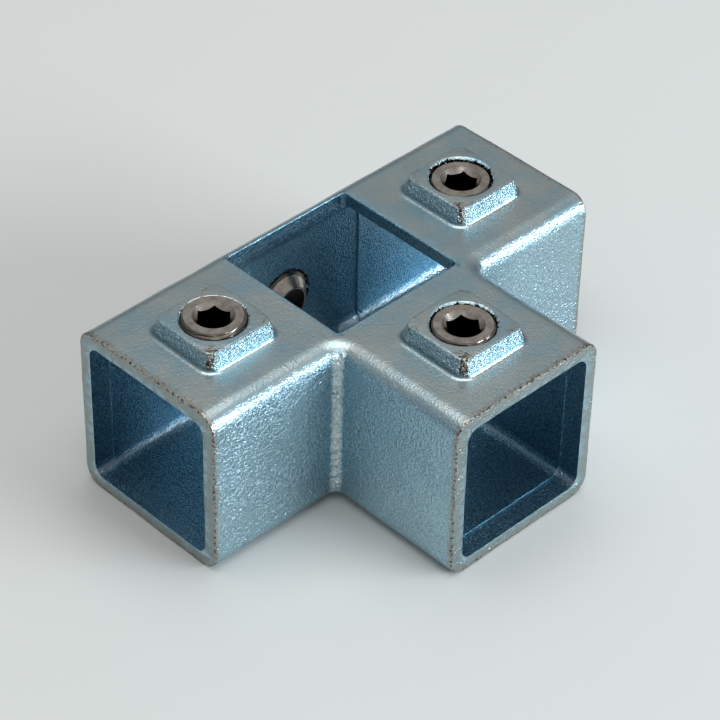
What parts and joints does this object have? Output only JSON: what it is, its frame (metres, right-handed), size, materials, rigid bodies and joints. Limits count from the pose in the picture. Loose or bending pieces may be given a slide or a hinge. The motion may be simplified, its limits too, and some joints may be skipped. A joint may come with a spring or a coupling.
{
  "type": "square tube clamp tee",
  "caption": "Cast square-tube clamp with in-line sockets, a branch socket and a passage for an upright, each tube held by a set screw.",
  "frame": {"origin": "on the axis of the upright tube's passage, in the plane of the flat underside", "axes": "+Z along the upright's axis, up; +X along the two in-line sockets; the branch socket opens towards -Y"},
  "size_m": [0.131, 0.0956, 0.0553],
  "materials": {
    "zinc_plated_iron": "bright zinc plated, blue passivated, fine cast texture",
    "stainless_steel": "turned and tumbled, satin"
  },
  "bodies": {
    "casting": {"casting": "zinc_plated_iron"},
    "set_screw_left": {"set_screw_left": "stainless_steel"},
    "set_screw_right": {"set_screw_right": "stainless_steel"},
    "set_screw_branch": {"set_screw_branch": "stainless_steel"},
    "set_screw_back": {"set_screw_back": "stainless_steel"}
  },
  "joints": [
    {"name": "screw_travel_left", "type": "slide", "parent": "casting", "child": "set_screw_left", "axis": [0, 0, 1], "range_m": [-0.004, 0.00245]},
    {"name": "screw_travel_right", "type": "slide", "parent": "casting", "child": "set_screw_right", "axis": [0, 0, 1], "range_m": [-0.0023, 0.00415]},
    {"name": "screw_travel_branch", "type": "slide", "parent": "casting", "child": "set_screw_branch", "axis": [0, 0, 1], "range_m": [-0.003, 0.00345]},
    {"name": "screw_travel_back", "type": "slide", "parent": "casting", "child": "set_screw_back", "axis": [0, 1, 0], "range_m": [-0.0035, 0.00345]}
  ]
}
